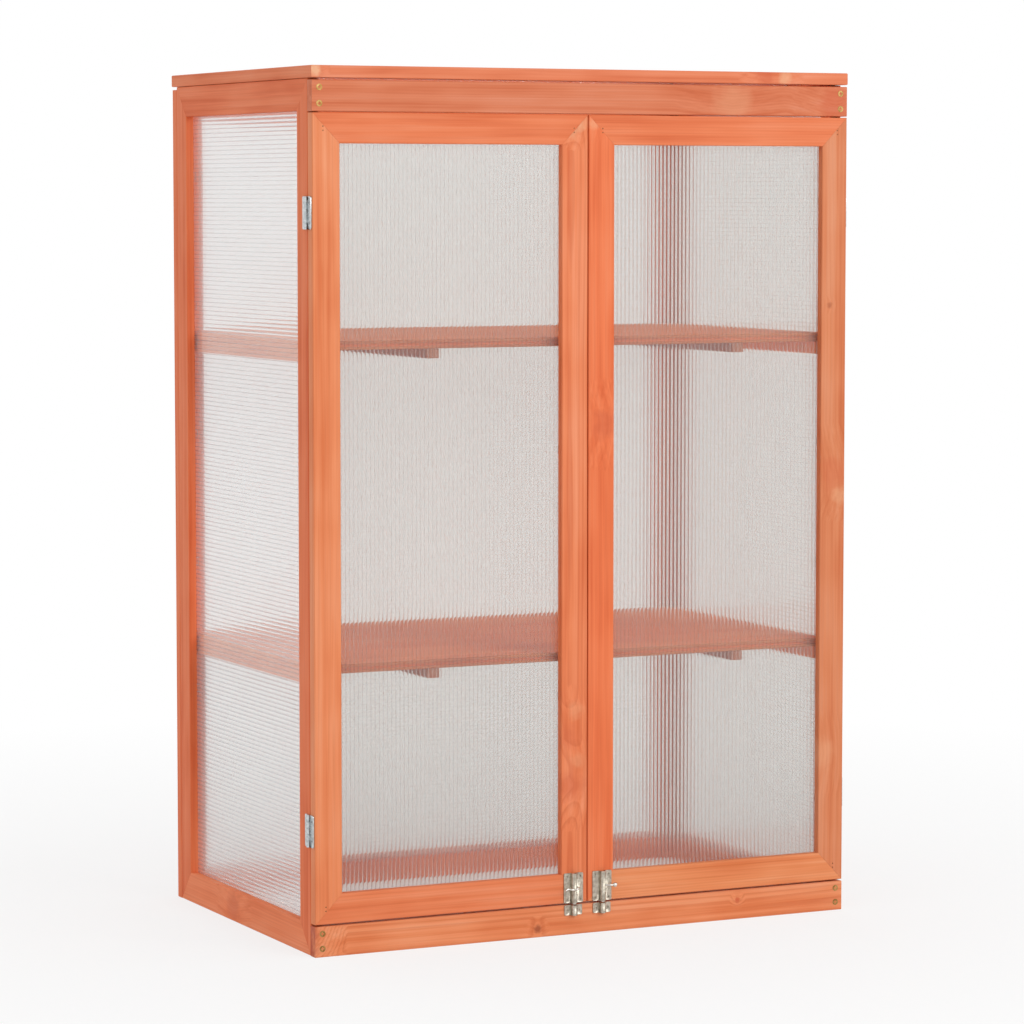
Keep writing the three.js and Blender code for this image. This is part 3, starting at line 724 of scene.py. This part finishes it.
# Butt hinges. The pattern's pin stands on the Z axis, both leaves' screwed faces are at x = BARREL, and the
# fixed leaf goes to +Y. Its knuckles are rolled from the leaf.
BARREL = 2.4                      # radius of the knuckles
PIN = 1.2                         # and of the pin
PIN_PLAY = 0.25                   # gap around the pin in the moving knuckles
LEAF = 1.2                        # thickness
LEAF_REACH = 13
LEAF_HALF = 20
LEAF_CORNER = 2
KNUCKLES = 5
KNUCKLE_GAP = 0.3
LEAF_SCREWS = ((8, -12), (8, 12))
LEAF_SINK = (1.5, 2.6)            # a hole's radius at the leaf's back and at its front
SINK_PAST = 0.2                   # how far a countersink's cutter passes the steel


def hinge_leaf(kind):
    near = BARREL + KNUCKLE_GAP
    leaf = block(f"hinge_{kind}_leaf", (BARREL - LEAF, near, -LEAF_HALF), (BARREL, LEAF_REACH, LEAF_HALF))
    rounded(leaf, lambda edge: runs_along(0)(edge) and edge.verts[0].co.y > LEAF_REACH / 2 * MM, LEAF_CORNER)
    height = 2 * LEAF_HALF / KNUCKLES
    rolls = []
    for i in range(0 if kind == "fixed" else 1, KNUCKLES, 2):
        foot = i * height - LEAF_HALF + (KNUCKLE_GAP / 2 if i else 0)
        top = (i + 1) * height - LEAF_HALF - (KNUCKLE_GAP / 2 if i < KNUCKLES - 1 else 0)
        roll = turned("roll", (0, 0, foot), (0, 0, top), BARREL)
        tail = block("tail", (BARREL - LEAF, 0, foot), (BARREL, near + LEAF, top))
        rolls.append(combine(roll, [tail], "UNION"))
    combine(leaf, rolls, "UNION")
    if kind == "fixed":
        pin = turned("pin", (0, 0, -LEAF_HALF), (0, 0, LEAF_HALF), PIN)
        combine(leaf, [pin], "UNION")
    else:
        bore = turned("bore", (0, 0, -LEAF_HALF - PAST), (0, 0, LEAF_HALF + PAST), PIN + PIN_PLAY)
        combine(leaf, [bore], "DIFFERENCE")
    back, front = BARREL + SINK_PAST, BARREL - LEAF - SINK_PAST
    combine(leaf, [turned("sink", (back, y, z), (front, y, z), *LEAF_SINK) for y, z in LEAF_SCREWS],
            "DIFFERENCE")
    return ease(leaf)


FIXED_LEAF = hinge_leaf("fixed")
MOVING_LEAF = hinge_leaf("moving")
HALF_ROUND_X = Matrix.Rotation(math.pi, 4, "X")             # puts the moving leaf on the pin's other side
HEAD_OUTWARD = {"right": (0, -1, 0), "back": (1, 0, 0)}      # a screw's head looks along the pattern's -X


def hang(name, fixed_body, moving_body, place):
    for kind, body, pattern, turn in (("fixed", fixed_body, FIXED_LEAF, Matrix.Identity(4)),
                                      ("moving", moving_body, MOVING_LEAF, HALF_ROUND_X)):
        leaf = copied(pattern, f"rolled_{name}_hinge_{kind}_leaf", place @ turn)
        fit(leaf, body, HINGE_FINISH, "zinc_plate", f"{name}_hinge_{kind}_leaf")
        screws(f"{name}_hinge_{kind}_leaf_screws", body, FITTING_SCREW, HINGE_FINISH, [
            place @ turn @ placed(BARREL - LEAF, y, z, **HEAD_OUTWARD) for y, z in LEAF_SCREWS])


DOOR_PIN = (376.7, -216.2)
DOOR_HINGE_HEIGHTS = (("lower", 155.5), ("upper", 912.0))
LID_PIN = (241.6, 1073.0)
LID_HINGE_X = (("left", -254), ("right", 254))
for level, z in DOOR_HINGE_HEIGHTS:
    hang(f"left_door_{level}", "cabinet", "left_door", placed(-DOOR_PIN[0], DOOR_PIN[1], z))
    hang(f"right_door_{level}", "cabinet", "right_door", placed(*DOOR_PIN, z, right=(-1, 0, 0)))
for side, x in LID_HINGE_X:
    hang(f"lid_{side}", "cabinet", "lid", placed(x, *LID_PIN, right=(0, -1, 0), back=(0, 0, -1)))


# Tower bolts on the doors. Their patterns have the door's face at y = 0 and the plate's foot at z = 0.
BOLT_X = 20.25
PLATE_FOOT = 40.8
KEEPER_FOOT = 25.0
ROD_FOOT = 38.8
PLATE_HALF, PLATE_HEIGHT = 13.5, 38
KEEPER_HALF, KEEPER_HEIGHT = 12.5, 13
SHIM = 0.3                        # gap behind the pressed steel
STEEL = 1
PLATE_CORNER = 1.6
HOLE_FROM_EDGE = 4.2
PLATE_SINK = (2.5, 1.4)           # a hole's radius at the steel's front and behind it, on the wood
ARCH_INNER, ARCH_OUTER = 3.1, 4.1
ARCH_SIDES = 48
CHEEKS_SHORT = 0.01               # the arch's cheeks end this far before the steel's back
SLOT_LOW, SLOT_HIGH = (1.2, -12, 10.7), (9, -2.9, 30.8)     # corners of the slot that the handle leaves by
SLOT_CORNER = 1.2
ROD_Y = -3.4
ROD_RADIUS = 2.75
ROD_HEIGHT = 38
ROD_ROUND = 0.8                   # rounding of its ends
HANDLE_RADIUS = 1.3
# The bent handles' points, from the rod's foot, and the radius of their ends: one is plain, one has a ball.
HANDLES = {
    "left": (((0, -3.4, 22), (3.8, -7.2, 22), (1.3, -10.6, 20.9), (-4.1, -9.3, 19.8), (-12.3, -9.3, 20.9),
              (-14.5, -9.3, 19.8)), HANDLE_RADIUS),
    "right": (((0, -3.4, 22), (3.8, -7.2, 22), (6.7, -9.3, 22), (14.5, -9.3, 22)), 3.1),
}


def pressed_arch(name, half, height, holes, middle):
    """Flanges with a half-round arch pressed up between them around y = middle, and countersunk holes."""
    front = -SHIM - STEEL
    plate = block(name, (-half, front, 0), (half, -SHIM, height))
    rounded(plate, runs_along(1), PLATE_CORNER)
    outer = turned("outer", (0, middle, 0), (0, middle, height), ARCH_OUTER, sides=ARCH_SIDES)
    cheeks = block("cheeks", (-ARCH_OUTER, middle, 0), (ARCH_OUTER, -SHIM - CHEEKS_SHORT, height))
    combine(plate, [outer, cheeks], "UNION")
    foot, top = -PAST, height + PAST
    inner = turned("inner", (0, middle, foot), (0, middle, top), ARCH_INNER, sides=ARCH_SIDES)
    opening = block("opening", (-ARCH_INNER, middle, foot), (ARCH_INNER, PAST, top))
    combine(inner, [opening], "UNION")
    back = block("back", (-half, -SHIM, foot), (half, PAST, top))
    sinks = [turned("sink", (x, front - SINK_PAST, z), (x, 0, z), *PLATE_SINK) for x, z in holes]
    return combine(plate, [inner, back, *sinks], "DIFFERENCE")


def bolt_plate():
    across, top = PLATE_HALF - HOLE_FROM_EDGE, PLATE_HEIGHT - HOLE_FROM_EDGE
    holes = [(x, z) for x in (-across, across) for z in (HOLE_FROM_EDGE, top)]
    plate = pressed_arch("bolt_plate", PLATE_HALF, PLATE_HEIGHT, holes, ROD_Y)
    slot = block("slot", SLOT_LOW, SLOT_HIGH)
    middle = (SLOT_LOW[0] + SLOT_HIGH[0]) / 2
    rounded(slot, lambda edge: runs_along(1)(edge) and edge.verts[0].co.x < middle * MM, SLOT_CORNER)
    return ease(combine(plate, [slot], "DIFFERENCE")), holes


def keeper():
    """Its arch is around the rod, which lies in front of the door."""
    across = KEEPER_HALF - HOLE_FROM_EDGE
    holes = [(x, KEEPER_HEIGHT / 2) for x in (-across, across)]
    arch = pressed_arch("keeper", KEEPER_HALF, KEEPER_HEIGHT, holes, ROD_Y + DOOR_FACE - RAIL_FACE)
    return ease(arch), holes


def bolt_rod(path, end_radius):
    """The rod with its foot at z = 0, and its bent handle along the path."""
    rod = turned("bolt_rod", (0, ROD_Y, 0), (0, ROD_Y, ROD_HEIGHT), ROD_RADIUS)
    rounded(rod, lambda edge: not runs_along(2)(edge), ROD_ROUND, segments=3)
    end = ball("end", path[-1], end_radius)
    return smooth_rounds(combine(rod, [wire("handle", path, HANDLE_RADIUS), end], "UNION"))


PLATE, PLATE_HOLES = bolt_plate()
KEEPER, KEEPER_HOLES = keeper()
for side, sign in (("left", -1), ("right", 1)):
    x = BOLT_X * sign
    plate_place, keeper_place = placed(x, DOOR_FACE, PLATE_FOOT), placed(x, RAIL_FACE, KEEPER_FOOT)
    fit(copied(PLATE, f"pressed_{side}_bolt_plate", plate_place), f"{side}_door", BOLT_FINISH, "zinc_plate",
        f"{side}_bolt_plate")
    fit(copied(KEEPER, f"pressed_{side}_bolt_keeper", keeper_place), "cabinet", BOLT_FINISH, "zinc_plate",
        f"{side}_bolt_keeper")
    rod = bolt_rod(*HANDLES[side])
    rod.data.transform(placed(x, DOOR_FACE, ROD_FOOT))
    rod.name = f"round_{side}_bolt_rod"
    fit(rod, f"{side}_bolt", ROD_FINISH, "zinc_plate", f"{side}_bolt_rod")
    face = -SHIM - STEEL
    screws(f"{side}_bolt_plate_screws", f"{side}_door", FITTING_SCREW, BOLT_FINISH, [
        plate_place @ placed(hx, face, hz) for hx, hz in PLATE_HOLES])
    screws(f"{side}_bolt_keeper_screws", "cabinet", FITTING_SCREW, BOLT_FINISH, [
        keeper_place @ placed(hx, face, hz) for hx, hz in KEEPER_HOLES])

for pattern in (RAIL_SCREW, FITTING_SCREW, STAPLE, SHELF_NAIL, BRAD, FIXED_LEAF, MOVING_LEAF, PLATE, KEEPER):
    bpy.data.objects.remove(pattern)


# Floor, world and lamp. Lengths are in metres.
FLOOR_SIZE = 16
PAPER = (0.9, 0.9, 0.9, 1)
AMBIENT = 0.74                    # how strongly the white room lights matt surfaces
FLOOR_NEAR, FLOOR_FAR = 0.5, 1.9  # between these distances the floor fades into the white backdrop
FLOOR_WHITE_SEEN = 0.75           # share of plain white in the floor near the object, seen straight
FLOOR_WHITE_THROUGH = 0.3         # and seen through the sheets or mirrored
SOFTBOX_PLACE, SOFTBOX_TARGET = Vector((1.6, -4.2, 2.6)), Vector((0, 0, 0.6))
SOFTBOX_SIZE = 2.4
SOFTBOX_WATTS = 66


def view_rays(tree):
    """1 for rays straight from the camera, and 1 for those and for rays that metal mirrors or sheets bend."""
    straight = add_node(tree, "LightPath", out="Is Camera Ray")
    glossy = add_node(tree, "LightPath", out="Is Glossy Ray")
    through = add_node(tree, "LightPath", out="Is Transmission Ray")
    seen = add_node(tree, "Math", {0: glossy, 1: through}, operation="MAXIMUM")
    return straight, add_node(tree, "Math", {0: seen, 1: straight}, operation="MAXIMUM")


def add_floor():
    bpy.ops.object.select_all(action="DESELECT")
    bpy.ops.mesh.primitive_plane_add(size=FLOOR_SIZE)
    floor = bpy.context.object
    floor.name = "floor"
    material, tree = new_material("matt_white_paper_floor")
    place = add_node(tree, "TexCoord", out="Object")
    away = add_node(tree, "VectorMath", {0: place}, out="Value", operation="LENGTH")
    straight, seen = view_rays(tree)
    near = add_node(tree, "MapRange", {
        "Value": straight, "To Min": FLOOR_WHITE_THROUGH, "To Max": FLOOR_WHITE_SEEN})
    share = add_node(tree, "MapRange", {
        "Value": away, "From Min": FLOOR_NEAR, "From Max": FLOOR_FAR, "To Min": near, "To Max": 1.0})
    share = add_node(tree, "Math", {0: share, 1: seen}, operation="MULTIPLY")
    paper = add_node(tree, "BsdfDiffuse", {"Color": PAPER})
    white = add_node(tree, "Emission", {"Color": WHITE, "Strength": 1.0})
    surface = add_node(tree, "MixShader", {0: share, 1: paper, 2: white})
    add_node(tree, "OutputMaterial", {"Surface": surface})
    floor.data.materials.append(material)


def add_world():
    world = bpy.data.worlds.new("white_room")
    world.use_nodes = True
    tree = world.node_tree
    tree.nodes.clear()
    _, seen = view_rays(tree)
    strength = add_node(tree, "MapRange", {"Value": seen, "To Min": AMBIENT, "To Max": 1.0})
    background = add_node(tree, "Background", {"Color": WHITE, "Strength": strength})
    add_node(tree, "OutputWorld", {"Surface": background})
    bpy.context.scene.world = world


def add_softbox():
    data = bpy.data.lights.new("front_softbox", "AREA")
    data.shape = "RECTANGLE"
    data.size = data.size_y = SOFTBOX_SIZE
    data.energy = SOFTBOX_WATTS
    lamp = bpy.data.objects.new("front_softbox", data)
    lamp.location = SOFTBOX_PLACE
    lamp.rotation_euler = (SOFTBOX_TARGET - SOFTBOX_PLACE).to_track_quat("-Z", "Y").to_euler()
    bpy.context.scene.collection.objects.link(lamp)


add_floor()
add_world()
add_softbox()

# Bounces enough for a view through several sheets and their ribs
cycles = bpy.context.scene.cycles
cycles.max_bounces = 32
cycles.transmission_bounces = 32
cycles.diffuse_bounces = 3
cycles.transparent_max_bounces = 48
bpy.context.scene.view_settings.view_transform = "Standard"
